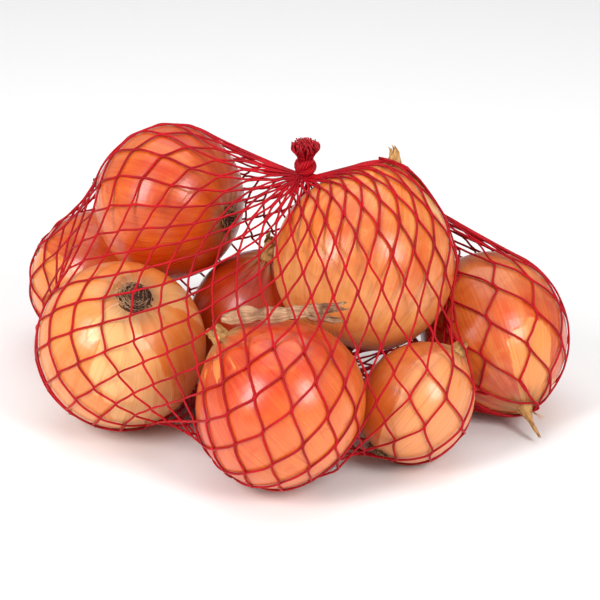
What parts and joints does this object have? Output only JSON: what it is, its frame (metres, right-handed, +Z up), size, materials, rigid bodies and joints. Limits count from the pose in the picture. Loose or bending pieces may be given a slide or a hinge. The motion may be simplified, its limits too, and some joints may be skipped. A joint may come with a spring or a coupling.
{
  "type": "mesh produce bag",
  "caption": "Knitted net bag, gathered and knotted shut round loose onions that lie in a heap, with the cut net ends standing as a tuft on the knot.",
  "frame": {"origin": "middle of the footprint, on the surface that the bag lies on", "axes": "+Z up; +X along the bag's longest side, towards the single onion at that end; +Y away from the side with the long dry stem"},
  "size_m": [0.2471, 0.2114, 0.1233],
  "materials": {
    "red_net": "satin",
    "red_fibre": "matte",
    "onion_skin": "satin",
    "dry_skin": "matte",
    "roots": "matte"
  },
  "bodies": {
    "net": {"net_sleeve": "red_net", "bottom_knot": "red_net", "bottom_tuft": "red_fibre", "dry_stem": "dry_skin"},
    "knot": {"top_knot": "red_net", "top_tuft": "red_fibre"},
    "onion_1": {"bulb_1": "onion_skin", "neck_1": "dry_skin", "roots_1": "roots"},
    "onion_2": {"bulb_2": "onion_skin", "neck_2": "dry_skin", "roots_2": "roots"},
    "onion_3": {"bulb_3": "onion_skin", "neck_3": "dry_skin", "roots_3": "roots"},
    "onion_4": {"bulb_4": "onion_skin", "neck_4": "dry_skin", "roots_4": "roots"},
    "onion_5": {"bulb_5": "onion_skin", "neck_5": "dry_skin", "roots_5": "roots"},
    "onion_6": {"bulb_6": "onion_skin", "neck_6": "dry_skin", "roots_6": "roots"},
    "onion_7": {"bulb_7": "onion_skin", "neck_7": "dry_skin", "roots_7": "roots"},
    "onion_8": {"bulb_8": "onion_skin", "neck_8": "dry_skin", "roots_8": "roots"}
  },
  "joints": [
    {"name": "knot_lift", "type": "slide", "parent": "net", "child": "knot", "axis": [0, 0, 1], "range_m": [0, 0.012]},
    {"name": "onion_1_roll", "type": "hinge", "parent": "net", "child": "onion_1", "pos_m": [-0.0539, 0.042, 0.083], "axis": [-0.8586, 0.5092, 0.0599], "range_deg": [-25, 25]},
    {"name": "onion_2_roll", "type": "hinge", "parent": "net", "child": "onion_2", "pos_m": [-0.0899, 0.072, 0.0335], "axis": [0.8619, -0.3042, -0.4056], "range_deg": [-25, 25]},
    {"name": "onion_3_roll", "type": "hinge", "parent": "net", "child": "onion_3", "pos_m": [-0.0739, -0.011, 0.0375], "axis": [-0.2201, 0.4402, -0.8705], "range_deg": [-25, 25]},
    {"name": "onion_4_roll", "type": "hinge", "parent": "net", "child": "onion_4", "pos_m": [-0.0149, 0.026, 0.033], "axis": [0.1407, -0.1709, 0.9752], "range_deg": [-25, 25]},
    {"name": "onion_5_roll", "type": "hinge", "parent": "net", "child": "onion_5", "pos_m": [-0.0049, -0.068, 0.0365], "axis": [-0.662, 0.2006, 0.7222], "range_deg": [-25, 25]},
    {"name": "onion_6_roll", "type": "hinge", "parent": "net", "child": "onion_6", "pos_m": [0.0311, -0.009, 0.075], "axis": [0.2902, 0.3502, 0.8906], "range_deg": [-20, 20]},
    {"name": "onion_7_roll", "type": "hinge", "parent": "net", "child": "onion_7", "pos_m": [0.0521, -0.048, 0.027], "axis": [0.6222, 0.3011, 0.7226], "range_deg": [-25, 25]},
    {"name": "onion_8_roll", "type": "hinge", "parent": "net", "child": "onion_8", "pos_m": [0.0891, 0.0075, 0.0354], "axis": [0.2999, -0.7498, -0.5898], "range_deg": [-25, 25]}
  ]
}
